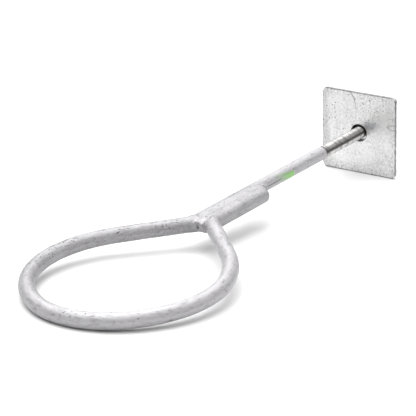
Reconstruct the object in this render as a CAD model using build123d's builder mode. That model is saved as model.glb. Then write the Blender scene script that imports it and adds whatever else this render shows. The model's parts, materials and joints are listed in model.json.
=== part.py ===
from build123d import *
from math import acos, atan2, cos, hypot, pi, radians, sin, tan
import os

# A ring anchor bolt: a round bar bent into a pear-shaped loop and welded to a straight rod, whose
# threaded end passes through a square plate and takes a nut behind it.
# Sizes are in millimetres. The object lies as it comes to rest: the plate stands on its lower edge
# and the nose of the loop touches the same floor, so the rod slopes down towards the loop.
# The origin is the centre of the plate's hole, on the face that looks towards the loop.
# Lengths along the rod are measured from that face, positive towards the loop.

# Square plate
plate_side = 80.0
plate_thickness = 4.0
plate_corner_radius = 5.0
plate_edge_round = 0.5
plate_hole_diameter = 16.0

# Rod: an M12 thread at the plate, a zinc-coated shank towards the loop
thread_diameter = 11.8
thread_beyond_nut = 8.0
thread_chamfer = 1.4
shank_diameter = 12.6
shank_start = 68.0
shank_edge = 0.3
rod_end = 276.0

# Hexagon nut
nut_sides = 6
nut_across_flats = 18.0
nut_height = 10.0
nut_chamfer_angle = 30.0
nut_thread_clearance = 0.0

# Loop bar: a straight far leg, four tangent arcs of the hand-bent loop, a near leg and a tail
bar_diameter = 14.0
leg_gap = 0.3
far_leg_angle = 37.0
far_leg_length = 64.0
shoulder_radius = 104.0
shoulder_angle = 99.0
nose_radius = 67.0
nose_angle = 74.5
cheek_radius = 97.0
cheek_angle = 63.0
near_arc_radius = 140.0
near_arc_angle = 25.0
tail_bend_radius = 14.0
tail_gap = 0.4
tail_end = 187.5
tail_end_round = 2.5

# Welds: how far round each bar the seam reaches, and how much it stands proud
seam_angle = 55.0
seam_crown = 0.5
runout_length = 13.0
runout_tip_radius = 1.5
runout_rise = 2.0
runout_radius = 4.5
# Neck weld round the butt joint: distance past the rod's end, towards the tail, above the rod's axis, radius
butt_lumps = [
    (3.0, 0.8, 0.3, 8.6),
    (-7.5, 1.0, 5.4, 3.2),
    (-3.5, 2.5, 5.8, 3.2),
    (1.0, 5.0, 5.4, 3.0),
    (-4.5, 6.2, 4.6, 2.6),
]
# Neck weld in the crotch of the loop: the same, but measured past the end of the tail's bend
crotch_lumps = [
    (4.6, 8.0, 0.0, 6.6),
    (15.2, 10.0, -0.5, 7.5),
    (15.7, 9.5, 4.6, 2.8),
]

# Where the pieces meet
bar_radius = bar_diameter/2
shank_radius = shank_diameter/2
thread_radius = thread_diameter/2
tail_offset = shank_radius + tail_gap + bar_radius
nut_face = -plate_thickness
thread_end = nut_face - nut_height - thread_beyond_nut
far_leg_start = rod_end + leg_gap + bar_radius*sin(radians(far_leg_angle))
tail_bend_angle = far_leg_angle - shoulder_angle - nose_angle - cheek_angle - near_arc_angle + 180

# Centreline of the loop bar, flat, with the rod along X and the tail on the positive Y side
with BuildLine() as centreline:
    far_leg = PolarLine((far_leg_start, 0), far_leg_length, -far_leg_angle)
    shoulder = JernArc(far_leg @ 1, far_leg % 1, shoulder_radius, shoulder_angle)
    nose = JernArc(shoulder @ 1, shoulder % 1, nose_radius, nose_angle)
    cheek = JernArc(nose @ 1, nose % 1, cheek_radius, cheek_angle)
    near_arc = JernArc(cheek @ 1, cheek % 1, near_arc_radius, near_arc_angle)
    bend_drop = tail_bend_radius*(1 - cos(radians(tail_bend_angle)))
    near_leg_length = ((near_arc @ 1).Y - tail_offset - bend_drop)/sin(radians(-tail_bend_angle))
    near_leg = Line(near_arc @ 1, (near_arc @ 1) + (near_arc % 1)*near_leg_length)
    tail_bend = JernArc(near_leg @ 1, near_leg % 1, tail_bend_radius, tail_bend_angle)
    tail = Line(tail_bend @ 1, (tail_end, tail_offset))

# Slope at rest: the plate's rounded lower front edge and the underside of the nose at one height
nose_reach = centreline.line.bounding_box().max.X
edge_height = plate_side/2 - plate_edge_round
edge_span = nose_reach + plate_edge_round
slope = acos((bar_radius - plate_edge_round)/hypot(edge_height, edge_span)) - atan2(edge_span, edge_height)

# Planes of the object: level with the loop, across the rod, and upright along the rod
loop_plane = Plane(origin=(0, 0, 0), x_dir=(cos(slope), 0, -sin(slope)), z_dir=(sin(slope), 0, cos(slope)))
across = Plane(origin=loop_plane.origin, x_dir=loop_plane.y_dir, z_dir=loop_plane.x_dir)
upright = Plane(origin=loop_plane.origin, x_dir=loop_plane.x_dir, z_dir=-loop_plane.y_dir)
rod_axis = Axis(loop_plane.origin, loop_plane.x_dir)

os.makedirs("parts", exist_ok=True)

# Rod: chamfered threaded end, shoulder where the coating stops, and shank, turned in one profile
with BuildPart() as anchor_rod:
    with BuildSketch(upright):
        with BuildLine():
            Polyline(
                (thread_end, 0),
                (thread_end, thread_radius - thread_chamfer),
                (thread_end + thread_chamfer, thread_radius),
                (shank_start, thread_radius),
                (shank_start, shank_radius - shank_edge),
                (shank_start + shank_edge, shank_radius),
                (rod_end, shank_radius),
                (rod_end, 0),
                close=True,
            )
        make_face()
    revolve(axis=rod_axis)

# Loop bar: one round section swept along the centreline, with the coating's round at the tail's end
bar_path = loop_plane * centreline.wire()
with BuildPart() as ring_loop:
    with BuildSketch(Plane(origin=bar_path @ 0, z_dir=bar_path % 0)):
        Circle(bar_radius)
    sweep(path=bar_path)
    tail_face = ring_loop.faces().filter_by(GeomType.PLANE).sort_by(rod_axis)[0]
    fillet(tail_face.edges(), radius=tail_end_round)

# Seam weld: fills the grooves above and below, between the rod and the tail
rod_side_y = shank_radius*cos(radians(seam_angle))
rod_side_z = shank_radius*sin(radians(seam_angle))
tail_side_y = tail_offset - bar_radius*cos(radians(seam_angle))
tail_side_z = bar_radius*sin(radians(seam_angle))
crown_y = (rod_side_y + tail_side_y)/2
crown_z = (rod_side_z + tail_side_z)/2 + seam_crown
seam_end = (tail_bend @ 1).X
with BuildPart() as tail_seam_weld:
    with BuildSketch(across.offset(tail_end)):
        with BuildLine():
            ThreePointArc((rod_side_y, rod_side_z), (crown_y, crown_z), (tail_side_y, tail_side_z))
            Line((tail_side_y, tail_side_z), (tail_side_y, -tail_side_z))
            ThreePointArc((tail_side_y, -tail_side_z), (crown_y, -crown_z), (rod_side_y, -rod_side_z))
            Line((rod_side_y, -rod_side_z), (rod_side_y, rod_side_z))
        make_face()
        Circle(shank_radius, mode=Mode.SUBTRACT)
        with Locations((tail_offset, 0)):
            Circle(bar_radius, mode=Mode.SUBTRACT)
    extrude(amount=seam_end - tail_end)

# Run-out of the weld: tapers from the tail's end face down to the side of the shank
with BuildPart() as tail_end_weld:
    with BuildSketch(across.offset(tail_end - runout_length)):
        with Locations((shank_radius - runout_tip_radius/2, 0)):
            Circle(runout_tip_radius)
    with BuildSketch(across.offset(tail_end)):
        with Locations((shank_radius + runout_rise, 0)):
            Circle(runout_radius)
    loft()
    add(anchor_rod.part, mode=Mode.SUBTRACT)

# Neck weld: a core round the butt joint, the filled crotch of the loop, and the ripples of the bead
with BuildPart() as neck_weld:
    for start, lumps in ((rod_end, butt_lumps), (seam_end, crotch_lumps)):
        for forward, sideways, up, radius in lumps:
            with Locations(loop_plane.from_local_coords((start + forward, sideways, up))):
                Sphere(radius)
    split(bisect_by=across.offset(seam_end), keep=Keep.TOP)
    add(anchor_rod.part, mode=Mode.SUBTRACT)
    add(ring_loop.part, mode=Mode.SUBTRACT)

# Square plate: rounded corners, a clearance hole and edges softened by the zinc
with BuildPart() as square_plate:
    with BuildSketch(across.offset(-plate_thickness)):
        RectangleRounded(plate_side, plate_side, plate_corner_radius)
        Circle(plate_hole_diameter/2, mode=Mode.SUBTRACT)
    extrude(amount=plate_thickness)
    plate_faces = square_plate.faces().filter_by(GeomType.PLANE).sort_by(rod_axis)
    fillet(plate_faces[0].outer_wire().edges() + plate_faces[-1].outer_wire().edges(), plate_edge_round)

# Hexagon nut: six flats with both faces chamfered by one turned profile
nut_flat_radius = nut_across_flats/2
nut_corner_radius = nut_flat_radius/cos(pi/nut_sides)
nut_chamfer_depth = (nut_corner_radius - nut_flat_radius)*tan(radians(nut_chamfer_angle))
nut_back = nut_face - nut_height
with BuildPart() as hex_nut:
    with BuildSketch(across.offset(nut_back)):
        RegularPolygon(radius=nut_flat_radius, side_count=nut_sides, major_radius=False)
    extrude(amount=nut_height)
    with BuildSketch(upright):
        with BuildLine():
            Polyline(
                (nut_back, 0),
                (nut_back, nut_flat_radius),
                (nut_back + nut_chamfer_depth, nut_corner_radius),
                (nut_face - nut_chamfer_depth, nut_corner_radius),
                (nut_face, nut_flat_radius),
                (nut_face, 0),
                close=True,
            )
        make_face()
    revolve(axis=rod_axis, mode=Mode.INTERSECT)
    with BuildSketch(across.offset(nut_back)):
        Circle(thread_radius + nut_thread_clearance)
    extrude(amount=nut_height, mode=Mode.SUBTRACT)

anchor_rod.part.label = "anchor_rod"
ring_loop.part.label = "ring_loop"
tail_seam_weld.part.label = "tail_seam_weld"
tail_end_weld.part.label = "tail_end_weld"
neck_weld.part.label = "neck_weld"
square_plate.part.label = "square_plate"
hex_nut.part.label = "hex_nut"
export_step(anchor_rod.part, "parts/anchor_rod.step")
export_step(ring_loop.part, "parts/ring_loop.step")
export_step(tail_seam_weld.part, "parts/tail_seam_weld.step")
export_step(tail_end_weld.part, "parts/tail_end_weld.step")
export_step(neck_weld.part, "parts/neck_weld.step")
export_step(square_plate.part, "parts/square_plate.step")
export_step(hex_nut.part, "parts/hex_nut.step")
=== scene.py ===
import json
import math

import bpy
import numpy as np
from mathutils import Matrix, Vector, noise


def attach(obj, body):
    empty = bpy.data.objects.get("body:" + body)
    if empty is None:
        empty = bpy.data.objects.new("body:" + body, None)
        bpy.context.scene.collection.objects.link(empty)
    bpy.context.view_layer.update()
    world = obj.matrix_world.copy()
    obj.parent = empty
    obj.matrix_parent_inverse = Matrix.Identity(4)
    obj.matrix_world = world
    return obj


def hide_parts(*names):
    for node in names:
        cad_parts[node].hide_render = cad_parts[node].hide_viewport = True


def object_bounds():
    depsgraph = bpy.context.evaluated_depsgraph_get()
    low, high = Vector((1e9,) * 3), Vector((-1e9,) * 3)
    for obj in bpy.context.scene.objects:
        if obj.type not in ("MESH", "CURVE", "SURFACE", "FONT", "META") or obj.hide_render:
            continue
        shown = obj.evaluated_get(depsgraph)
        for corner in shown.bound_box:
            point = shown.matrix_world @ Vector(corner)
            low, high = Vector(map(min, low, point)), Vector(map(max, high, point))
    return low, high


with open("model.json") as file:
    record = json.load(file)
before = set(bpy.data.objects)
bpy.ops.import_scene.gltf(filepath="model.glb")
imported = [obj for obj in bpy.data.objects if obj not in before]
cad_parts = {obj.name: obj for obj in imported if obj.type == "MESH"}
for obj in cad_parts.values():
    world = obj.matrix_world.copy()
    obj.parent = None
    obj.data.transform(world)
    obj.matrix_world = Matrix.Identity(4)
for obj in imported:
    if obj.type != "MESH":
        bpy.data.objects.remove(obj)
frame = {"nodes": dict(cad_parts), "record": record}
cad_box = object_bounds()

# The ring anchor bolt as it looks: zinc over the bars, welds and plate, a cut thread on the rod's
# end, and a material on every piece. The nut is the CAD solid with a material of its own.
# Sizes are in millimetres, as in the part. Shapes are built in the loop's own frame, where X runs
# along the rod from the plate, Y towards the tail and Z up from the plane of the loop.
MM = 0.001

# Thread: of each half turn, the root and the flank take these shares and the crest the rest
THREAD_RADIUS = 5.9
THREAD_PITCH = 1.75
THREAD_DEPTH = 0.45
THREAD_ROOT = 0.18
THREAD_FLANK = 0.5
THREAD_START = -22.0
THREAD_CHAMFER = 1.4
# It fades out towards the shank, stays plain just before it, and is tucked into it at the end
THREAD_FADE = 2.0
THREAD_PLAIN = 1.5
THREAD_TUCK = 1.0

# Shank of the rod
SHANK_RADIUS = 6.3
SHANK_START = 68.0
SHANK_EDGE = 0.45
ROD_END = 276.0

# Loop bar, as a walk along its centreline: (length or radius, turn in degrees), 0 for straight
BAR_RADIUS = 7.0
LEG_GAP = 0.3
FAR_LEG_ANGLE = 37.0
FAR_LEG = (64.0, 0.0)
SHOULDER = (104.0, 99.0)
NOSE = (67.0, 74.5)
CHEEK = (97.0, 63.0)
NEAR_ARC = (140.0, 25.0)
TAIL_BEND_RADIUS = 14.0
TAIL_GAP = 0.4
TAIL_END = 187.5
TAIL_END_ROUND = 2.5

# Square plate
PLATE_SIDE = 80.0
PLATE_THICKNESS = 4.0
PLATE_CORNER = 5.0
PLATE_EDGE = 0.5
PLATE_HOLE_RADIUS = 8.0

# Steps round the plate's rounded edges, across its rim and through its hole
EDGE_STEPS = 4
RIM_STEPS = 4
BORE_STEPS = 3

# How closely the welded bars are meshed, and how often their points are evened out
VOXEL = 0.75
EVENING_ROUNDS = 3

# The zinc's skin: how deep its waves are on the bars and on weld metal. Waves are (width, share)
ZINC_SKIN = 0.12
ZINC_WAVES = [(9.0, 1.0), (3.2, 0.5)]
WELD_SKIN = 0.35
WELD_WAVES = [(2.4, 1.0)]
WELD_FADE = 1.2

# The plate's zinc: its thickness, its dents, and its rim, which is ragged and has thinner zinc
PLATE_SKIN = 0.08
PLATE_DENTS = [(7.0, 0.10), (2.5, 0.05)]
RIM_START = 37.0
RIM_FADE = 2.5
RIM_THINNING = 0.5
RIM_RAGGED = 0.22
RIM_WAVES = [(4.0, 1.0), (1.6, 0.6)]


# ---------------------------------------------------------------- frame of the loop

rod_axis = next(m for m in frame["record"]["mounts"] if m["name"] == "wall_face")["axis"]
loop_x = Vector(rod_axis).normalized()
loop_y = Vector((0, 1, 0))
loop_z = loop_x.cross(loop_y)
TO_ROW = np.array([loop_x, loop_y, loop_z]) * MM


def to_row(points):
    """Points of the loop's frame, in millimetres, as points of the row frame, in metres."""
    return np.asarray(points, float) @ TO_ROW


# ---------------------------------------------------------------- centreline of the loop bar


def turned(flat, angle):
    """A flat vector turned by an angle in radians."""
    c, s = math.cos(angle), math.sin(angle)
    return np.array([c * flat[0] - s * flat[1], s * flat[0] + c * flat[1]])


def walk(start, heading, moves):
    """Straight and round runs that follow each other, each with its start, heading and length."""
    runs, travelled = [], 0.0
    place, heading = np.array(start, float), math.radians(heading)
    for size, turn in moves:
        ahead = np.array([math.cos(heading), math.sin(heading)])
        left = np.array([-ahead[1], ahead[0]])
        run = {"at": place, "ahead": ahead, "left": left, "size": size, "from": travelled}
        if turn == 0:
            run["length"] = size
            place = place + ahead * size
        else:
            sweep = math.radians(turn)
            side = math.copysign(1, sweep)
            run["centre"] = place + left * size * side
            run["sweep"] = sweep
            run["length"] = size * abs(sweep)
            heading += sweep
            spoke = side * np.array([-math.sin(heading), math.cos(heading)])
            place = run["centre"] - size * spoke
        travelled += run["length"]
        runs.append(run)
    return runs, place, math.degrees(heading)


def nearest_on(run, flat):
    """For each flat point: distance along the run, offset to its left, and distance from it."""
    if "centre" not in run:
        away = flat - run["at"]
        along = np.clip(away @ run["ahead"], 0, run["length"])
        foot = run["at"] + along[:, None] * run["ahead"]
        return along, (flat - foot) @ run["left"], np.linalg.norm(flat - foot, axis=1)
    side = math.copysign(1, run["sweep"])
    spoke = flat - run["centre"]
    first = (run["at"] - run["centre"]) / run["size"]
    angle = np.arctan2(first[0] * spoke[:, 1] - first[1] * spoke[:, 0], spoke @ first) * side
    middle = abs(run["sweep"]) / 2
    angle = (angle - middle + math.pi) % (2 * math.pi) - math.pi + middle
    kept = np.clip(angle, 0, abs(run["sweep"])) * side
    across = np.stack([
        first[0] * np.cos(kept) - first[1] * np.sin(kept),
        first[0] * np.sin(kept) + first[1] * np.cos(kept),
    ], axis=1)
    foot = run["centre"] + across * run["size"]
    offset = ((foot - flat) * across).sum(1) * side
    return np.abs(kept) * run["size"], offset, np.linalg.norm(flat - foot, axis=1)


tail_y = SHANK_RADIUS + TAIL_GAP + BAR_RADIUS
far_leg_x = ROD_END + LEG_GAP + BAR_RADIUS * math.sin(math.radians(FAR_LEG_ANGLE))
free_moves = [FAR_LEG, SHOULDER, NOSE, CHEEK, NEAR_ARC]
_, near_top, near_heading = walk((far_leg_x, 0), -FAR_LEG_ANGLE, free_moves)
bend_turn = 180 - near_heading
bend_drop = TAIL_BEND_RADIUS * (1 - math.cos(math.radians(bend_turn)))
near_leg = (near_top[1] - tail_y - bend_drop) / math.sin(math.radians(-bend_turn))
all_moves = free_moves + [(near_leg, 0.0), (TAIL_BEND_RADIUS, bend_turn)]
loop_runs, tail_start, _ = walk((far_leg_x, 0), -FAR_LEG_ANGLE, all_moves)
SEAM_END = float(tail_start[0])
LOOP_LENGTH = loop_runs[-1]["from"] + loop_runs[-1]["length"]


def loop_place(points):
    """For each point: distance along the bent bar, offset to its left, and from its centreline."""
    best = [np.full(len(points), np.inf) for _ in range(3)]
    for run in loop_runs:
        along, offset, away = nearest_on(run, points[:, :2])
        nearer = away < best[2]
        for kept, new in zip(best, (along + run["from"], offset, away)):
            kept[nearer] = new[nearer]
    return best[0], best[1], np.hypot(best[2], points[:, 2])


# ---------------------------------------------------------------- simple signed distances


def rounded_rod(points, y, radius, start, end, rim):
    """A round bar along X with rounded rims at both ends."""
    radial = np.hypot(points[:, 1] - y, points[:, 2]) - (radius - rim)
    axial = np.maximum(start + rim - points[:, 0], points[:, 0] - (end - rim))
    outside = np.hypot(np.maximum(radial, 0), np.maximum(axial, 0))
    return outside + np.minimum(np.maximum(radial, axial), 0) - rim


def blob(points, x, y, z, radius):
    return np.linalg.norm(points - np.array([x, y, z]), axis=1) - radius


def slab(points, middle, half, edge):
    """A block with rounded edges."""
    beyond = np.abs(points - np.array(middle)) - (np.array(half) - edge)
    return np.linalg.norm(np.maximum(beyond, 0), axis=1) + np.minimum(beyond.max(1), 0) - edge


def stick(points, a, b, radius):
    """A round-ended stick from a to b."""
    a, b = np.array(a), np.array(b)
    share = np.clip((points - a) @ (b - a) / ((b - a) @ (b - a)), 0, 1)
    return np.linalg.norm(points - a - share[:, None] * (b - a), axis=1) - radius


def chain(points, places, radius):
    """Sticks that follow each other through the places."""
    return np.min([stick(points, a, b, radius) for a, b in zip(places, places[1:])], axis=0)


def joined(a, b, fillet):
    """Two shapes joined, with a fillet of about that width where they meet."""
    near = np.maximum(fillet - np.abs(a - b), 0) / fillet
    return np.minimum(a, b) - near * near * fillet / 4


# ---------------------------------------------------------------- shape of the welded bars

# Fillet of zinc and weld between the rod and the loop bar
BAR_FILLET = 3.0
# How far the straight tail and its seam run on into the tail's bend
BEND_OVERLAP = 2.0
# Weld metal in the grooves between rod and tail: middle across, half width, half height, rounding
SEAM_Y = 7.1
SEAM_HALF_WIDTH = 6.2
SEAM_HALF_HEIGHT = 6.5
SEAM_ROUND = 1.6
# The weld's run-out on the shank, first and last blob: (past the tail's end, across, radius)
RUNOUT_FIRST = (2.0, 9.8, 6.0)
RUNOUT_LAST = (-14.0, 5.2, 2.1)
RUNOUT_BLOBS = 8
RUNOUT_FILLET = 2.5
# Weld metal at the butt joint: (past the rod's end, towards the tail, up, radius)
BUTT = [(0.5, 0.6, 0.0, 5.2), (3.5, 0.6, 0.0, 5.6)]
BUTT_FILLET = 4.0
# Blocks of weld in the crotch of the loop: middle, half sizes and edge round
WEB = [
    ((-3.5, 9.0, 0.0), (8.5, 6.2, 6.0), 2.0),
    ((2.0, 9.4, 0.9), (4.6, 6.0, 4.4), 2.4),
    ((4.4, 9.6, 1.6), (5.0, 5.4, 2.8), 2.2),
]
WEB_FILLET = 2.4
# Grooves left in the weld, as chains of places with a radius: where the web meets the far leg, and
# along the top of the near leg
CREVICE = [(11.6, 8.4, 4.0), (10.2, 8.8, 2.0), (8.4, 9.4, 0.0)]
LEG_LINE = [(8.0, 15.8, 4.0), (5.1, 16.0, 5.2), (0.0, 15.8, 6.4), (-3.6, 15.0, 6.9)]
GROOVES = [(CREVICE, 0.9), (LEG_LINE, 0.35)]
GROOVE_FILLET = 0.4
# The patch of the neck that the ripples of the bead cover: its corners, and how many each way.
# The ripples' tops fall away past the rod's end
BEAD_PATCH = np.array([[7.6, 4.6], [-8.5, 3.4], [9.6, 14.6], [-7.0, 14.8]])
BEAD_COUNTS = (6, 4)
BEAD_SPREAD = (0.15, 0.85)
BEAD_RADII = (1.5, 2.2)
BEAD_HEIGHT = 7.3
BEAD_UNEVEN = (-0.3, 0.6)
BEAD_FALL = 0.26
BEAD_FILLET = 0.9
# Gaps between the ripples: their width, how far from a ripple they reach, and how dark the painted
# shade in them is
BEAD_GAP = 0.4
BEAD_REACH = 0.8
BEAD_GAP_SHADE = 0.5


def scatter_beads():
    """Ripples of the bead, unevenly spread: (past the rod's end, towards the tail, up, radius)."""
    pick = np.random.default_rng(7)
    beads = []
    for i in range(BEAD_COUNTS[0]):
        for j in range(BEAD_COUNTS[1]):
            u, v = (np.array([i, j]) + pick.uniform(*BEAD_SPREAD, 2)) / BEAD_COUNTS
            near = BEAD_PATCH[0] * (1 - u) + BEAD_PATCH[1] * u
            far = BEAD_PATCH[2] * (1 - u) + BEAD_PATCH[3] * u
            x, y = near * (1 - v) + far * v
            radius = pick.uniform(*BEAD_RADII)
            top = BEAD_HEIGHT - BEAD_FALL * max(x, 0) + pick.uniform(*BEAD_UNEVEN)
            beads.append((x, y, top - radius, radius))
    return beads


BEADS = scatter_beads()


def past_rod(points):
    """Points measured from the rod's end."""
    return points - np.array([ROD_END, 0, 0])


def bars(points):
    """Signed distances to the shank, and to the loop bar with its tail."""
    rod = rounded_rod(points, 0, SHANK_RADIUS, SHANK_START, ROD_END, SHANK_EDGE)
    _, _, away = loop_place(points)
    tail_reach = SEAM_END + BEND_OVERLAP
    tail = rounded_rod(points, tail_y, BAR_RADIUS, TAIL_END, tail_reach, TAIL_END_ROUND)
    return rod, np.minimum(away - BAR_RADIUS, tail)


def seam(points):
    """The weld metal between the rod and the tail."""
    middle = ((TAIL_END + SEAM_END + BEND_OVERLAP) / 2, SEAM_Y, 0)
    half = ((SEAM_END + BEND_OVERLAP - TAIL_END) / 2, SEAM_HALF_WIDTH, SEAM_HALF_HEIGHT)
    return slab(points, middle, half, SEAM_ROUND)


def welded(points):
    """Signed distance to the loop, the shank and the weld metal between them."""
    shape = joined(*bars(points), BAR_FILLET)
    shape = joined(shape, seam(points), SEAM_ROUND)
    for ahead, y, radius in np.linspace(RUNOUT_FIRST, RUNOUT_LAST, RUNOUT_BLOBS):
        shape = joined(shape, blob(points, TAIL_END + ahead, y, 0, radius), RUNOUT_FILLET)
    past = past_rod(points)
    for block in WEB:
        shape = joined(shape, slab(past, *block), WEB_FILLET)
    for lumps, fillet in ((BUTT, BUTT_FILLET), (BEADS, BEAD_FILLET)):
        for lump in lumps:
            shape = joined(shape, blob(past, *lump), fillet)
    for places, radius in GROOVES:
        shape = -joined(-shape, chain(past, places, radius), GROOVE_FILLET)
    return shape


def bead_gaps(past):
    """1 in the gaps between two ripples of the bead, 0 away from them. Painted as shade."""
    ripples = np.sort([blob(past, *bead) for bead in BEADS], axis=0)
    gap = np.clip(1 - (ripples[1] - ripples[0]) / BEAD_GAP, 0, 1)
    return gap * (ripples[0] < BEAD_REACH)


def grooves(past):
    """1 in the grooves left in the weld, 0 beside them. Painted as shade."""
    nearest = np.min([chain(past, places, radius) for places, radius in GROOVES], axis=0)
    return np.clip(1 - nearest / GROOVE_FILLET, 0, 1)


def waves(points, sizes, seed):
    """Noise of several widths added up, each with its own share and seed."""
    total = 0
    for number, (width, share) in enumerate(sizes, seed):
        shift = Vector([number * step for step in (17.3, 5.1, 9.7)])
        total += share * np.array([noise.noise(Vector(p) / width + shift) for p in points])
    return total


def settle(points, offsets=0.0, rounds=2, step=0.02, least_slope=0.05):
    """Moves points to where they stand proud of the welded shape by the offsets."""
    for _ in range(rounds):
        value = welded(points) - offsets
        slope = np.stack([
            (welded(points + step * axis) - welded(points - step * axis)) / (2 * step)
            for axis in np.eye(3)
        ], axis=1)
        size = np.maximum((slope ** 2).sum(1), least_slope)
        points = points - np.clip(value / size, -1.0, 1.0)[:, None] * slope
    return points


def relax(points, edges, share=0.5):
    """Moves each point part of the way to the middle of its neighbours."""
    ends = np.concatenate([edges, edges[:, ::-1]])
    count = np.bincount(ends[:, 0], minlength=len(points))
    middle = np.stack([
        np.bincount(ends[:, 0], points[ends[:, 1], axis], len(points)) / count
        for axis in range(3)
    ], axis=1)
    return points + share * (middle - points)


# ---------------------------------------------------------------- mesh helpers


def link(name, data):
    obj = bpy.data.objects.new(name, data)
    bpy.context.scene.collection.objects.link(obj)
    return obj


def shade_smooth(mesh):
    mesh.polygons.foreach_set("use_smooth", [True] * len(mesh.polygons))


def make_object(name, points, faces):
    mesh = bpy.data.meshes.new(name)
    mesh.from_pydata([tuple(p) for p in points], [], faces)
    mesh.validate()
    mesh.update()
    shade_smooth(mesh)
    return link(name, mesh)


def voxel_object(name, points, faces):
    """A piece of small even faces over rough solids that may run into each other."""
    rough = make_object("rough", points, faces)
    remesh = rough.modifiers.new("voxels", "REMESH")
    remesh.mode = "VOXEL"
    remesh.voxel_size = VOXEL
    graph = bpy.context.evaluated_depsgraph_get()
    mesh = bpy.data.meshes.new_from_object(rough.evaluated_get(graph))
    bpy.data.objects.remove(rough)
    mesh.name = name
    return link(name, mesh)


def point_attribute(obj, name, kind, values):
    layer = obj.data.attributes.new(name, kind, "POINT")
    key = "vector" if kind == "FLOAT_VECTOR" else "value"
    layer.data.foreach_set(key, np.asarray(values, np.float32).ravel())


def tube_faces(rings, sides, closed=False):
    """Quads between rings of points, with a flat cap on each end unless the rings close."""
    faces = []
    for r in range(rings if closed else rings - 1):
        low, high = r * sides, (r + 1) % rings * sides
        for s in range(sides):
            t = (s + 1) % sides
            faces.append((low + s, low + t, high + t, high + s))
    if not closed:
        faces.append(tuple(range(sides))[::-1])
        faces.append(tuple((rings - 1) * sides + s for s in range(sides)))
    return faces


def tube_mesh(tubes, sides=20):
    """One mesh of plain tubes, each given as (centres, left directions, up, radius)."""
    points, faces = [], []
    for centres, lefts, up, radius in tubes:
        start = len(points)
        for centre, left in zip(centres, lefts):
            for angle in 2 * math.pi * np.arange(sides) / sides:
                points.append(centre + radius * (math.cos(angle) * left + math.sin(angle) * up))
        faces += [tuple(start + i for i in f) for f in tube_faces(len(centres), sides)]
    return points, faces


# ---------------------------------------------------------------- welded loop

AHEAD, SIDE, UP = np.eye(3)

# Cores that the voxel mesh grows on. A weld's core is a little thinner than the weld. The rod's and
# the seam's are (start, end, how many rings)
RUN_STEP = 3.0
ROD_CORE = (SHANK_START, ROD_END + 4, 40)
SEAM_CORE = (TAIL_END - 6, ROD_END + 5, 20)
SEAM_CORE_Y = 7.0
SEAM_CORE_RADIUS = 5.0
WEB_CORE = 0.95
WEB_INSET = 0.9
LUMP_CORE = 0.9
LUMP_REACH = 0.8


def run_points(run):
    """Points and left directions along one run of the centreline."""
    points, lefts = [], []
    for t in np.linspace(0, 1, max(2, int(run["length"] / RUN_STEP) + 1)):
        if "centre" not in run:
            flat, left = run["at"] + run["ahead"] * run["length"] * t, run["left"]
        else:
            turn = run["sweep"] * t
            flat = run["centre"] + turned(run["at"] - run["centre"], turn)
            left = turned(run["left"], turn)
        points.append(np.array([*flat, 0]))
        lefts.append(np.array([*left, 0]))
    return points, lefts


def loop_core():
    """The loop bar from the far leg round to the end of its tail."""
    centres, lefts = [], []
    for run in loop_runs:
        points, sides = run_points(run)
        first = 1 if centres else 0
        centres += points[first:]
        lefts += sides[first:]
    centres.append(np.array([TAIL_END, tail_y, 0]))
    return centres, lefts + lefts[-1:], UP, BAR_RADIUS


def straight_core(places, radius, up=UP):
    places = [np.array(p) for p in places]
    return places, [SIDE] * len(places), up, radius


def core_tubes():
    """A tube for each bar, block and lump, so that the voxel mesh has points near them all."""
    tubes = [loop_core()]
    tubes.append(straight_core([(x, 0, 0) for x in np.linspace(*ROD_CORE)], SHANK_RADIUS))
    seam_line = [(x, SEAM_CORE_Y, 0) for x in np.linspace(*SEAM_CORE)]
    tubes.append(straight_core(seam_line, SEAM_CORE_RADIUS))
    for middle, half, edge in WEB:
        reach = half[0] - edge / 2
        for y in np.linspace(-1, 1, 3) * (half[1] - half[2] * WEB_INSET):
            row = [(ROD_END + middle[0] + x, middle[1] + y, middle[2]) for x in (-reach, 0, reach)]
            tubes.append(straight_core(row, half[2] * WEB_CORE))
    for x, y, z, radius in BUTT + BEADS:
        pin = [(ROD_END + x, y, z + h * radius) for h in (-LUMP_REACH, 0, LUMP_REACH)]
        tubes.append(straight_core(pin, radius * LUMP_CORE, -AHEAD))
    return tubes


def even_out(points, edges):
    """Points on the welded shape, evenly spread, so that no face is crumpled or folded."""
    for _ in range(EVENING_ROUNDS):
        points = relax(settle(points), edges)
    return settle(points)


def bar_places(points):
    """Each point unrolled: distance from the plate along rod, tail and loop, then across and up."""
    along, offset, _ = loop_place(points)
    rod, loop = bars(points)
    on_loop = (loop < rod) & (points[:, 0] > SEAM_END)
    return np.stack([
        np.where(on_loop, SEAM_END + LOOP_LENGTH - along, points[:, 0]),
        np.where(on_loop, tail_y - offset, points[:, 1]),
        points[:, 2],
    ], axis=1)


def make_welded_loop():
    obj = voxel_object("welded_loop", *tube_mesh(core_tubes()))
    mesh = obj.data
    points = np.array([v.co for v in mesh.vertices], float)
    points = even_out(points, np.array([e.vertices for e in mesh.edges]))
    weld = np.clip(np.minimum(*bars(points)) / WELD_FADE, 0, 1)
    skin = ZINC_SKIN * (waves(points, ZINC_WAVES, 1) - 0.5)
    skin += weld * WELD_SKIN * waves(points, WELD_WAVES, 3)
    points = settle(points, skin)
    past = past_rod(points)
    mesh.vertices.foreach_set("co", to_row(points).astype(np.float32).ravel())
    point_attribute(obj, "bar", "FLOAT_VECTOR", bar_places(points))
    point_attribute(obj, "place", "FLOAT_VECTOR", points)
    point_attribute(obj, "weld", "FLOAT", weld)
    # Painted shade in the weld's grooves and in the gaps between the bead's ripples
    dark = np.maximum(grooves(past), BEAD_GAP_SHADE * bead_gaps(past))
    point_attribute(obj, "groove_shade", "FLOAT", dark)
    shade_smooth(mesh)
    mesh.update()
    return obj


# ---------------------------------------------------------------- threaded end


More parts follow.
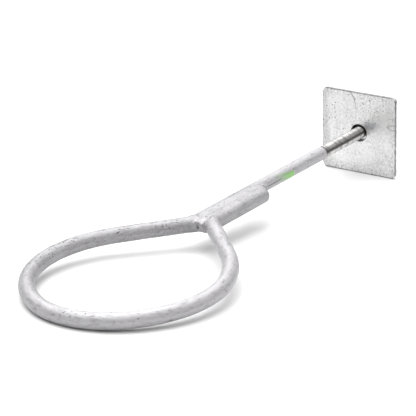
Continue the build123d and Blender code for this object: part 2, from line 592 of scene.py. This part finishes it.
def thread_height(turns):
    """Height between root, 0, and crest, 1, of a thread with worn flats."""
    slant = np.abs(turns % 1 - 0.5) * 2
    return np.clip((slant - THREAD_ROOT) / THREAD_FLANK, 0, 1)


def make_threaded_end(sides=48, rows_per_turn=10):
    end = SHANK_START + THREAD_TUCK
    rows = int((end - THREAD_START) / THREAD_PITCH * rows_per_turn) + 1
    angles = 2 * math.pi * np.arange(sides) / sides
    points = []
    for x in np.linspace(THREAD_START, end, rows):
        height = thread_height(x / THREAD_PITCH - angles / (2 * math.pi))
        fade = np.clip((SHANK_START - THREAD_PLAIN - x) / THREAD_FADE, 0, 1)
        radius = THREAD_RADIUS - THREAD_DEPTH * fade * (1 - height)
        radius = np.minimum(radius, THREAD_RADIUS - THREAD_CHAMFER + (x - THREAD_START))
        ring = [np.full(sides, x), radius * np.cos(angles), radius * np.sin(angles)]
        points.append(np.stack(ring, axis=1))
    points = np.concatenate(points)
    faces = [f[::-1] for f in tube_faces(rows, sides)]
    obj = make_object("threaded_end", to_row(points), faces)
    point_attribute(obj, "bar", "FLOAT_VECTOR", points)
    return obj


# ---------------------------------------------------------------- square plate


def rounded_square(count, half, corner):
    """Points round a square with rounded corners, evenly spaced, with their outward directions."""
    side, arc = 2 * (half - corner), corner * math.pi / 2
    total = 4 * (side + arc)
    points, outs = [], []
    for i in range(count):
        quarter, left = divmod(i * total / count, side + arc)
        if left < side:
            point, out = np.array([half, left - side / 2]), np.array([1.0, 0])
        else:
            angle = (left - side) / corner
            out = np.array([math.cos(angle), math.sin(angle)])
            point = half - corner + corner * out
        points.append(turned(point, quarter * math.pi / 2))
        outs.append(turned(out, quarter * math.pi / 2))
    return np.array(points), np.array(outs)


def plate_section(rings):
    """The plate's outline in section, from the hole over the front, the rim and the back.

    Each place is (part of the plate, share of the way out or distance outwards, X).
    """
    edge, back = PLATE_EDGE, -PLATE_THICKNESS
    arc = [(math.sin(a), math.cos(a)) for a in np.linspace(0, math.pi / 2, EDGE_STEPS + 1)]
    section = [("face", k / rings, 0.0) for k in range(rings + 1)]
    section += [("rim", edge * s - edge, edge * c - edge) for s, c in arc[1:]]
    section += [("rim", 0.0, x) for x in np.linspace(-edge, back + edge, RIM_STEPS + 1)[1:]]
    section += [("rim", edge * c - edge, back + edge - edge * s) for s, c in arc[1:]]
    section += [("face", 1 - k / rings, back) for k in range(1, rings + 1)]
    section += [("bore", edge - edge * s, back + edge - edge * c) for s, c in arc[1:]]
    section += [("bore", 0.0, x) for x in np.linspace(back + edge, -edge, BORE_STEPS + 1)[1:]]
    section += [("bore", edge - edge * c, edge * s - edge) for s, c in arc[1:-1]]
    return section


def plate_rings(section, count):
    """One ring of points round the plate for each place of its section."""
    outline, outward = rounded_square(count, PLATE_SIDE / 2, PLATE_CORNER)
    angles = np.arctan2(outline[:, 1], outline[:, 0])
    from_hole = np.stack([np.cos(angles), np.sin(angles)], axis=1)
    hole = PLATE_HOLE_RADIUS * from_hole
    face_in = hole + from_hole * PLATE_EDGE
    face_out = outline - outward * PLATE_EDGE
    rings = []
    for part, out, x in section:
        if part == "face":
            flat = face_in + (face_out - face_in) * out
        elif part == "rim":
            flat = outline + outward * out
        else:
            flat = hole + from_hole * out
        rings.append(np.column_stack([np.full(count, x), flat]))
    return np.concatenate(rings)


def coat_plate(points):
    """Dented zinc on both faces, kept within the plate's solid, and a ragged rim."""
    dents = np.abs(waves(points, PLATE_DENTS, 5))
    from_middle = np.abs(points[:, 1:]).max(1)
    rim = np.clip((from_middle - RIM_START) / RIM_FADE, 0, 1)
    inwards = np.where(points[:, 0] > -PLATE_THICKNESS / 2, -1, 1)
    points[:, 0] += inwards * (PLATE_SKIN + dents) * (1 - RIM_THINNING * rim)
    ragged = RIM_RAGGED * (waves(points * [0, 1, 1], RIM_WAVES, 7) - 1.0)
    reach = np.hypot(points[:, 1], points[:, 2])
    points[:, 1:] += (rim * ragged / reach)[:, None] * points[:, 1:]
    return points


def make_plate(count=320, rings=44):
    section = plate_section(rings)
    points = coat_plate(plate_rings(section, count))
    faces = [f[::-1] for f in tube_faces(len(section), count, closed=True)]
    obj = make_object("square_plate_zinc", to_row(points), faces)
    point_attribute(obj, "flat", "FLOAT_VECTOR", points)
    return obj


# ---------------------------------------------------------------- materials


def grey(value, warm=0.0):
    return (value * (1 + warm), value, value * (1 - warm), 1.0)


class Nodes:
    """Short names for the nodes of one material."""

    def __init__(self, name):
        self.material = bpy.data.materials.new(name)
        self.material.use_nodes = True
        self.tree = self.material.node_tree
        self.shader = self.tree.nodes["Principled BSDF"]

    def put(self, socket, value):
        if isinstance(value, bpy.types.NodeSocket):
            self.tree.links.new(value, socket)
        else:
            socket.default_value = value

    def add(self, kind, inputs=None, **settings):
        node = self.tree.nodes.new(kind)
        for key, value in settings.items():
            setattr(node, key, value)
        for key, value in (inputs or {}).items():
            self.put(node.inputs[key], value)
        return node

    def set(self, **values):
        for key, value in values.items():
            self.put(self.shader.inputs[key.replace("_", " ")], value)

    def attribute(self, name, output="Vector"):
        return self.add("ShaderNodeAttribute", attribute_name=name).outputs[output]

    def split(self, vector):
        return self.add("ShaderNodeSeparateXYZ", {"Vector": vector}).outputs

    # Arithmetic

    def math(self, operation, *values, clamp=False):
        node = self.add("ShaderNodeMath", operation=operation, use_clamp=clamp)
        for socket, value in zip(node.inputs, values):
            self.put(socket, value)
        return node.outputs[0]

    def each(self, operation, first, *others):
        for other in others:
            first = self.math(operation, first, other)
        return first

    def times(self, *values):
        return self.each("MULTIPLY", *values)

    def plus(self, *values):
        return self.each("ADD", *values)

    def most(self, *values):
        return self.each("MAXIMUM", *values)

    def less(self, value, taken):
        return self.math("SUBTRACT", value, taken)

    def abs(self, value):
        return self.math("ABSOLUTE", value)

    def ramp(self, value, low, high, out_low=0.0, out_high=1.0):
        """Eases from one value out to the other while the value in goes from low to high."""
        inputs = {"Value": value, "From Min": low, "From Max": high}
        inputs |= {"To Min": out_low, "To Max": out_high}
        node = self.add("ShaderNodeMapRange", inputs, interpolation_type="SMOOTHSTEP")
        return node.outputs["Result"]

    def between(self, value, rise, fall):
        """1 between two soft limits, each given by where its ramp starts and ends."""
        return self.times(self.ramp(value, *rise), self.ramp(value, *fall))

    # Places

    def vector(self, operation, *values):
        node = self.add("ShaderNodeVectorMath", operation=operation)
        for socket, value in zip(node.inputs, values):
            self.put(socket, value)
        return node.outputs["Value" if operation in ("LENGTH", "DISTANCE") else "Vector"]

    def warped(self, vector, scale, reach):
        """Places pushed about by noise, so that a pattern there loses its regular shape."""
        push = self.add("ShaderNodeTexNoise", {"Vector": vector, "Scale": scale, "Detail": 2.0})
        return self.vector("MULTIPLY_ADD", push.outputs["Color"], (reach,) * 3, vector)

    def oval(self, across, up, centre, radii):
        """Distance from the centre of an oval, 1 on its rim."""
        legs = []
        for value, middle, radius in zip((across, up), centre, radii):
            away = self.math("DIVIDE", self.less(value, middle), radius)
            legs.append(self.times(away, away))
        return self.math("SQRT", self.plus(*legs))

    # Patterns

    def noise(self, vector, scale, detail=2.0, roughness=0.5):
        inputs = {"Vector": vector, "Scale": scale, "Detail": detail, "Roughness": roughness}
        return self.add("ShaderNodeTexNoise", inputs).outputs["Fac"]

    def drawn_out(self, vector, stretch, detail=2.0, roughness=0.5):
        """Noise with its own scale along each axis."""
        return self.noise(self.vector("MULTIPLY", vector, stretch), 1.0, detail, roughness)

    def specks(self, vector, scale, size, share):
        """Spots of mixed size, one in some of the cells of a random pattern."""
        cells = self.add("ShaderNodeTexVoronoi", {"Vector": vector, "Scale": scale}).outputs
        chance = self.split(cells["Color"])
        edge = self.ramp(chance["Y"], 0.0, 1.0, size * 0.4, size)
        spot = self.ramp(self.less(cells["Distance"], edge), 0.0, size * -0.4)
        return self.times(spot, self.math("LESS_THAN", chance["X"], share))

    # Colour and relief

    def mix(self, share, a, b, blend="MIX"):
        node = self.add("ShaderNodeMix", data_type="RGBA", blend_type=blend)
        colours = [s for s in node.inputs if s.type == "RGBA"]
        for socket, value in zip((node.inputs["Factor"], *colours), (share, a, b)):
            self.put(socket, value)
        return next(s for s in node.outputs if s.type == "RGBA")

    def bump(self, height, distance):
        node = self.add("ShaderNodeBump", {"Height": height, "Distance": distance, "Strength": 1.0})
        self.put(self.shader.inputs["Normal"], node.outputs["Normal"])


# Zinc on the bars. Places along them are measured from the plate, along the rod and its tail, and
# on round the loop from the near leg to the far one. A pair is where a ramp starts and ends.
ZINC_DARK = grey(0.05)
WELD_GREY = grey(0.38)
COOL_TINT = (1.0, 0.982, 1.016, 1.0)
PALE_SHANK = (195, 140)
# Painted light on the near half of the loop, and painted shade on the far half
PAINTED_LIGHT_NEAR_HALF = ((262, 300), (660, 500))
PAINTED_SHADE_FAR_HALF = (680, 860)
PEPPER_THINS_OUT = (760, 450)
SIDE_LINE = ((143, 149), (176, 172))
# The one deep pit on top of the tail, and its radius
TAIL_PIT = (227.4, 13.3, 7.0)
TAIL_PIT_RADIUS = 0.9
# Patch of paint on the rod: its two ends, its middle, and how it faces and tilts
PAINT_GREEN = (0.22, 0.50, 0.12, 1.0)
PAINT_ENDS = ((127.0, 128.5), (160, 130))
PAINT_MIDDLE = 137.4
PAINT_FACES = 0.966
PAINT_TILT = 0.025


def bar_tone(n, bar, cloud, grain):
    """Zinc: paler on the shank, paler on the near half of the loop as painted light, and darker on
    the far half as painted shade.
    """
    along = n.split(bar)["X"]
    colour = n.mix(n.ramp(cloud, 0.35, 0.65), grey(0.29), grey(0.35))
    # Paler on the shank, and on the near half of the loop as painted light
    pale = n.most(n.ramp(along, *PALE_SHANK), n.between(along, *PAINTED_LIGHT_NEAR_HALF))
    colour = n.mix(n.times(pale, 0.55), colour, grey(0.50))
    # Painted shade: darker on the far half of the loop
    colour = n.mix(n.ramp(along, *PAINTED_SHADE_FAR_HALF, 0.0, 0.18), colour, grey(0.12))
    colour = n.mix(n.ramp(grain, 0.42, 0.60, 0.0, 0.6), colour, grey(0.42))
    streaks = n.drawn_out(bar, (0.12, 0.4, 0.4), 3.0, 0.6)
    return n.mix(n.ramp(streaks, 0.50, 0.72, 0.0, 0.45), colour, grey(0.15))


def bar_specks(n, bar, place):
    """Dashes along the bar, round pits, and fine pepper that lies in patches."""
    on_bar = n.split(bar)
    belt = n.drawn_out(bar, (0.03, 0.12, 0.12), 1.0)
    dashes = n.ramp(n.drawn_out(bar, (0.3, 1.0, 1.0), 4.0, 0.75), 0.60, 0.68)
    dashes = n.times(dashes, n.ramp(belt, 0.54, 0.62))
    pits = n.specks(n.warped(place, 0.8, 1.6), 0.16, 0.15, 0.5)
    thinned = n.ramp(on_bar["X"], *PEPPER_THINS_OUT, 0.0, 0.04)
    pepper = n.less(n.drawn_out(bar, (0.40, 0.66, 0.66), 2.0, 0.6), thinned)
    patches = n.ramp(n.noise(place, 0.07), 0.42, 0.60, 0.1, 1.0)
    on_top = n.ramp(on_bar["Z"], 0, 3, 0.4, 1.0)
    return n.most(dashes, pits, n.times(n.ramp(pepper, 0.585, 0.635), patches, on_top))


def side_line(n, bar):
    """The dark line on the side of the rod, up to the weld's run-out."""
    on_bar = n.split(bar)
    away = n.abs(n.less(on_bar["Z"], n.times(n.noise(bar, 0.12), 0.9)))
    on_side = n.ramp(on_bar["Y"], 3, 5)
    return n.times(n.ramp(away, 0.6, 0.25), on_side, n.between(on_bar["X"], *SIDE_LINE))


def tail_pit(n, place):
    away = n.vector("DISTANCE", n.warped(place, 0.8, 0.5), TAIL_PIT)
    return n.ramp(away, TAIL_PIT_RADIUS, TAIL_PIT_RADIUS / 2)


def paint_patch(n, bar):
    """Paint with ragged ends on the side of the rod, turned a little about its middle."""
    on_bar = n.split(bar)
    along = n.plus(on_bar["X"], n.times(n.noise(bar, 0.5), 5.0))
    tilt = n.times(n.less(on_bar["X"], PAINT_MIDDLE), PAINT_TILT)
    facing = n.plus(n.times(on_bar["Y"], PAINT_FACES), n.times(on_bar["Z"], tilt))
    return n.times(n.between(along, *PAINT_ENDS), n.ramp(facing, 4.6, 5.6))


def zinc_bar():
    n = Nodes("galvanised_bar")
    bar, place = n.attribute("bar"), n.attribute("place")
    cloud = n.noise(place, 0.05, 3.0)
    grain = n.noise(place, 0.6, 4.0, 0.75)
    dark = n.most(bar_specks(n, bar, place), n.times(side_line(n, bar), 0.75))
    # The painted shade of the weld's grooves and the bead's gaps joins the dark marks
    dark = n.most(dark, tail_pit(n, place), n.attribute("groove_shade", "Fac"))
    colour = n.mix(n.times(dark, 0.88), bar_tone(n, bar, cloud, grain), ZINC_DARK)
    clean_weld = n.math("MULTIPLY", n.attribute("weld", "Fac"), n.less(0.45, dark), clamp=True)
    colour = n.mix(clean_weld, colour, WELD_GREY)
    colour = n.mix(1.0, colour, COOL_TINT, "MULTIPLY")
    colour = n.mix(n.times(paint_patch(n, bar), 0.9), colour, PAINT_GREEN)
    n.bump(n.less(n.times(grain, 0.6), dark), 0.25 * MM)
    n.set(Base_Color=colour, Metallic=0.45, Roughness=n.ramp(cloud, 0.3, 0.7, 0.44, 0.56))
    return n.material


def bare_thread():
    """Bright steel with painted light: paler below as a painted reflection of the floor, darker on
    top, a dark band along its side as a painted reflection, and bands across it.
    """
    n = Nodes("bright_thread")
    bar = n.attribute("bar")
    up = n.split(bar)["Z"]
    rub = n.drawn_out(bar, (0.12, 0.5, 0.5), 4.0, 0.65)
    colour = n.mix(n.ramp(rub, 0.35, 0.7), grey(0.30, 0.02), grey(0.46, 0.01))
    # Painted light: paler below and darker on top, then a painted dark reflection along the side
    colour = n.mix(n.ramp(up, 1.0, -2.0, 0.0, 0.6), colour, grey(0.75, 0.01))
    colour = n.mix(n.ramp(up, 1.8, 4.0, 0.0, 0.4), colour, grey(0.20, 0.01))
    colour = n.mix(n.between(up, (-0.4, 0.8), (3.0, 1.8)), colour, grey(0.12, 0.07))
    bands = n.drawn_out(bar, (0.28, 0.03, 0.03), 3.0, 0.7)
    colour = n.mix(n.ramp(bands, 0.50, 0.60, 0.0, 0.55), colour, grey(0.10, 0.05))
    n.set(Base_Color=colour, Metallic=1.0, Roughness=n.ramp(rub, 0.3, 0.7, 0.34, 0.22))
    return n.material


# Zinc on the plate. Places on it are measured from the middle of its hole: Y towards the tail's
# side, Z up. An oval is its centre and its radii.
PLATE_FRONT = (-1.6, -0.8)
# Painted reflection of the rod beside the hole: its oval and its colour
ROD_REFLECTION = ((13.0, 9.5), (11.0, 6.5))
ROD_REFLECTION_BLUE = (0.28, 0.30, 0.35, 1.0)
LAP = ((40.0, 10.7), (9.0, 2.4))
# The scratch: where it crosses the plate, and the height above which it bends aside, and how fast
SCRATCH_Y = -3.2
SCRATCH_BEND_FROM = 24.0
SCRATCH_BEND = 0.025
# Shadow line in the plate's clearance hole
HOLE_LINE = 8.35


def plate_tone(n, flat, cloud, mottle, grain):
    """Mottled zinc: shaded towards two sides, sooty near the edge and dark in ragged patches along
    it, with a painted reflection of the rod beside the hole.
    """
    at = n.split(flat)
    colour = n.mix(n.ramp(cloud, 0.38, 0.62), grey(0.56), grey(0.72))
    colour = n.mix(n.ramp(mottle, 0.36, 0.64, 0.0, 0.8), colour, grey(0.84))
    colour = n.mix(n.ramp(grain, 0.48, 0.74, 0.0, 0.8), colour, grey(0.36))
    shade = n.most(n.ramp(at["Z"], -28, 12, 0.0, 0.2), n.ramp(at["Y"], -24, -38, 0.0, 0.36))
    colour = n.mix(shade, colour, grey(0.12))
    from_middle = n.most(n.abs(at["Y"]), n.abs(at["Z"]))
    soot = n.ramp(n.noise(flat, 0.45, 4.0, 0.7), 0.50, 0.64)
    soot = n.times(n.ramp(from_middle, 30, 39), soot, 0.75)
    colour = n.mix(soot, colour, grey(0.22))
    front = n.ramp(at["X"], *PLATE_FRONT)
    ragged = n.plus(from_middle, n.times(n.noise(flat, 0.35, 4.0, 0.65), 2.6))
    colour = n.mix(n.times(n.ramp(ragged, 39.9, 41.0, 0.0, 0.92), front), colour, grey(0.10))
    # Painted reflection of the rod, blue-grey, beside the hole
    rod_reflection = n.ramp(n.oval(at["Y"], at["Z"], *ROD_REFLECTION), 1.0, 0.2, 0.0, 0.4)
    return n.mix(n.times(rod_reflection, front), colour, ROD_REFLECTION_BLUE)


def plate_scratch(n, flat):
    """A thin line down the upper half of the plate, curved at its top."""
    at = n.split(flat)
    above = n.most(n.less(at["Z"], SCRATCH_BEND_FROM), 0.0)
    line = n.plus(n.less(at["Y"], SCRATCH_Y), n.times(above, above, SCRATCH_BEND))
    line = n.plus(line, n.less(n.noise(flat, 0.25), 0.5))
    return n.times(n.ramp(n.abs(line), 0.6, 0.2), n.ramp(at["Z"], 9, 38, 0.0, 2.4))


def plate_marks(n, flat):
    """Pits, which are fewer low down, the scratch, and a lap mark at the edge."""
    at = n.split(flat)
    pits = n.specks(n.warped(flat, 1.0, 1.6), 0.32, 0.26, 0.4)
    pits = n.times(pits, n.ramp(at["Z"], -10, 12, 0.3, 1.0))
    lap = n.abs(n.less(n.oval(at["Y"], at["Z"], *LAP), 1.0))
    lap = n.times(n.ramp(lap, 0.22, 0.10), n.ramp(n.noise(flat, 0.6), 0.36, 0.46))
    return n.most(pits, n.times(plate_scratch(n, flat), 0.35), n.times(lap, 0.55))


def hole_shadow(n, flat):
    """A dark line round the hole, and a dark upper half inside it."""
    reach = n.vector("LENGTH", n.vector("MULTIPLY", flat, (0, 1, 1)))
    line = n.ramp(n.abs(n.less(reach, HOLE_LINE)), 0.45, 0.2)
    inside = n.times(n.ramp(reach, 8.7, 8.1), n.ramp(n.split(flat)["Z"], -3.5, 0.0))
    return n.most(line, inside)


def zinc_plate():
    n = Nodes("galvanised_plate")
    flat = n.attribute("flat")
    cloud = n.noise(flat, 0.06, 4.0, 0.6)
    mottle = n.noise(flat, 0.35, 4.0, 0.7)
    grain = n.noise(flat, 0.9, 3.0, 0.65)
    marks = plate_marks(n, flat)
    on_front = n.ramp(n.split(flat)["X"], *PLATE_FRONT, 0.0, 0.8)
    colour = plate_tone(n, flat, cloud, mottle, grain)
    colour = n.mix(n.times(marks, on_front), colour, grey(0.08))
    colour = n.mix(hole_shadow(n, flat), colour, grey(0.03))
    n.bump(n.less(n.times(n.plus(grain, mottle), 0.4), marks), 0.15 * MM)
    n.set(Base_Color=colour, Metallic=0.8, Roughness=n.ramp(cloud, 0.3, 0.7, 0.28, 0.38))
    return n.material


def nut_steel():
    """Cut steel. The face against the plate is what the hole shows: painted light below, painted
    shade above.
    """
    n = Nodes("bright_steel")
    place = n.add("ShaderNodeTexCoord").outputs["Object"]
    at = n.split(place)
    rub = n.noise(place, 400.0, 4.0, 0.6)
    colour = n.mix(n.ramp(rub, 0.35, 0.7), grey(0.26, 0.02), grey(0.46, 0.01))
    # Painted light on the lower part of the face against the plate, painted shade on its upper part
    by_plate = n.ramp(at["X"], -4.6 * MM, -4.2 * MM)
    colour = n.mix(by_plate, colour, grey(0.9))
    above = n.ramp(at["Z"], -4 * MM, -1 * MM)
    colour = n.mix(n.times(by_plate, above), colour, grey(0.02))
    n.bump(rub, 0.08 * MM)
    n.set(Base_Color=colour, Metallic=0.9, Roughness=n.ramp(rub, 0.3, 0.7, 0.45, 0.3))
    return n.material


def floor_material():
    n = Nodes("pale_floor")
    n.set(Base_Color=grey(0.72), Roughness=0.9)
    return n.material


def paint_with(obj, material):
    obj.data.materials.clear()
    obj.data.materials.append(material)


# ---------------------------------------------------------------- the object

welded_loop = make_welded_loop()
paint_with(welded_loop, zinc_bar())
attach(welded_loop, "root")
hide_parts("ring_loop", "anchor_rod", "neck_weld", "tail_seam_weld", "tail_end_weld")

threaded_end = make_threaded_end()
paint_with(threaded_end, bare_thread())
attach(threaded_end, "root")
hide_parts("anchor_rod")

plate = make_plate()
paint_with(plate, zinc_plate())
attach(plate, "root")
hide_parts("square_plate")

paint_with(frame["nodes"]["hex_nut"], nut_steel())

# ---------------------------------------------------------------- floor, light and camera

# In metres, with the roll in degrees and the lens and sensor in millimetres
FLOOR_SIZE = 12.0
HORIZON_LIGHT = 0.12
ZENITH_LIGHT = 1.5
ZENITH_HEIGHT = 0.9
LAMP_AT = Vector((-0.2, -1.1, 3.0))
LAMP_AIM = Vector((0.15, -0.05, 0.0))
LAMP_SIZE = 4.4
LAMP_POWER = 175.0
# The camera of the photograph, worked out from the plate's corners and the outline of the loop
CAMERA_AT = Vector((1.75171, 1.00289, 0.55338))
CAMERA_AIM = Vector((0.22983, -0.01683, -0.02000))
CAMERA_ROLL = 0.829
CAMERA_LENS = 190.38
CAMERA_SENSOR = 36.0
CAMERA_REACH = 50.0


def aimed(at, aim):
    """The turn that points a lamp or camera from one place to another."""
    return (aim - at).to_track_quat("-Z", "Y")


def make_floor():
    bpy.ops.mesh.primitive_plane_add(size=FLOOR_SIZE, location=(0, 0, cad_box[0].z))
    floor = bpy.context.object
    floor.name = "floor"
    paint_with(floor, floor_material())


def make_sky():
    """White light from all round, weak at the horizon and strong overhead."""
    world = bpy.data.worlds.new("studio")
    bpy.context.scene.world = world
    world.use_nodes = True
    nodes, links = world.node_tree.nodes, world.node_tree.links
    height = nodes.new("ShaderNodeSeparateXYZ")
    links.new(nodes.new("ShaderNodeTexCoord").outputs["Generated"], height.inputs[0])
    glow = nodes.new("ShaderNodeMapRange")
    glow.interpolation_type = "SMOOTHSTEP"
    limits = {"From Max": ZENITH_HEIGHT, "To Min": HORIZON_LIGHT, "To Max": ZENITH_LIGHT}
    for name, value in limits.items():
        glow.inputs[name].default_value = value
    links.new(height.outputs["Z"], glow.inputs["Value"])
    links.new(glow.outputs["Result"], nodes["Background"].inputs["Strength"])
    nodes["Background"].inputs["Color"].default_value = (1, 1, 1, 1)


def make_lamp():
    data = bpy.data.lights.new("overhead", "AREA")
    data.shape = "SQUARE"
    data.size = LAMP_SIZE
    data.energy = LAMP_POWER
    lamp = link("overhead", data)
    lamp.location = LAMP_AT
    lamp.rotation_euler = aimed(LAMP_AT, LAMP_AIM).to_euler()


def make_camera():
    data = bpy.data.cameras.new("camera")
    data.sensor_width = CAMERA_SENSOR
    data.lens = CAMERA_LENS
    data.clip_end = CAMERA_REACH
    camera = link("camera", data)
    level = aimed(CAMERA_AT, CAMERA_AIM).to_matrix().to_4x4()
    roll = Matrix.Rotation(math.radians(CAMERA_ROLL), 4, "Z")
    camera.matrix_world = Matrix.Translation(CAMERA_AT) @ level @ roll
    bpy.context.scene.camera = camera


make_floor()
make_sky()
make_lamp()
make_camera()
bpy.context.scene.view_settings.view_transform = "Standard"
